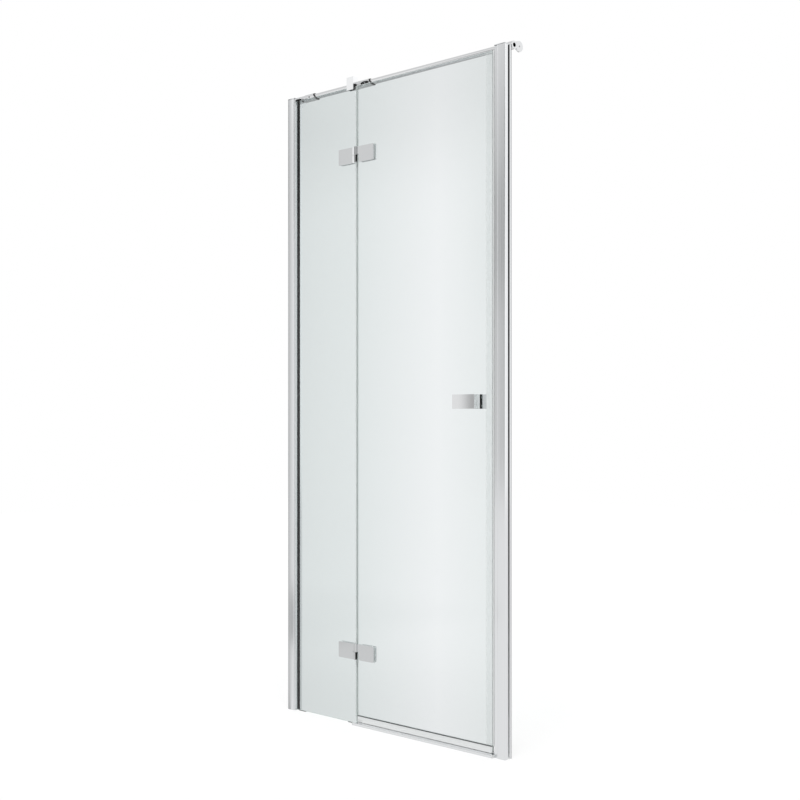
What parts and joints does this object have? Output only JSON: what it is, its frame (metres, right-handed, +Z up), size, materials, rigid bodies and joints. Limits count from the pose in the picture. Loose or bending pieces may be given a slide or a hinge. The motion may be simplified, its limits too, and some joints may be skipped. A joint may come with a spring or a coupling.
{
  "type": "hinged recess shower door",
  "caption": "Frameless glass shower door for a recess: narrow fixed pane in a wall profile, outward-swinging leaf on glass hinges, closing profile, stabiliser bar, handle and threshold.",
  "frame": {"origin": "middle of the opening between the two walls, in the middle of the glass thickness, on the shower tray under the threshold strip", "axes": "+X along the opening from the fixed pane towards the closing profile, +Y into the shower, +Z up"},
  "size_m": [0.9, 0.097, 1.97],
  "materials": {
    "bright_aluminium": "bright polished anodised",
    "chrome": "polished",
    "clear_glass": "clear toughened glass, faintly green at its edges",
    "clear_pvc": "clear soft plastic",
    "white_plastic": "satin",
    "black_rubber": "matte",
    "black_nylon": "satin",
    "magnet_strip": "matte bonded magnet",
    "stainless_steel": "turned",
    "black_steel": "blackened"
  },
  "bodies": {
    "frame": {"left_wall_channel": "bright_aluminium", "right_wall_channel": "bright_aluminium", "left_glazing_profile": "bright_aluminium", "right_closing_profile": "bright_aluminium", "left_top_cap": "bright_aluminium", "right_top_cap": "bright_aluminium", "front_glazing_seal": "clear_pvc", "rear_glazing_gasket": "black_rubber", "left_lock_screws": "stainless_steel", "right_lock_screws": "stainless_steel", "left_screw_covers": "chrome", "right_screw_covers": "chrome", "magnet_holder": "white_plastic", "frame_magnet": "magnet_strip", "fixed_pane": "clear_glass", "setting_blocks": "black_rubber", "edge_seal": "clear_pvc", "top_hinge_fixed_leaf": "chrome", "bottom_hinge_fixed_leaf": "chrome", "top_hinge_fixed_plate": "chrome", "bottom_hinge_fixed_plate": "chrome", "fixed_hinge_gaskets": "clear_pvc", "fixed_hinge_screws": "stainless_steel", "fixed_hinge_sleeves": "white_plastic", "hinge_bearings": "black_nylon", "hinge_washers": "white_plastic", "threshold_strip": "bright_aluminium", "threshold_end_caps": "white_plastic", "short_bar": "chrome", "long_bar": "chrome", "left_wall_bracket": "chrome", "right_wall_bracket": "chrome", "left_bar_collar": "chrome", "clamp_bar_collar": "chrome", "collar_liners": "black_nylon", "bar_set_screws": "black_steel", "glass_clamp": "chrome", "clamp_pad": "black_rubber", "clamp_set_screws": "stainless_steel"},
    "door": {"door_pane": "clear_glass", "top_hinge_door_leaf": "chrome", "bottom_hinge_door_leaf": "chrome", "top_hinge_door_plate": "chrome", "bottom_hinge_door_plate": "chrome", "door_hinge_gaskets": "clear_pvc", "door_hinge_screws": "stainless_steel", "door_hinge_sleeves": "white_plastic", "hinge_pins": "stainless_steel", "outer_handle": "chrome", "handle_spacer": "black_rubber", "inner_knob": "chrome", "knob_washer": "clear_pvc", "handle_screws": "stainless_steel", "handle_sleeves": "white_plastic", "door_bottom_seal": "clear_pvc", "seal_end_block": "clear_pvc", "magnetic_seal": "clear_pvc", "door_magnet": "magnet_strip"}
  },
  "joints": [
    {"name": "door_swing", "type": "hinge", "parent": "frame", "child": "door", "pos_m": [-0.142, -0.0085, 0], "axis": [0, 0, -1], "range_deg": [0, 110]}
  ]
}
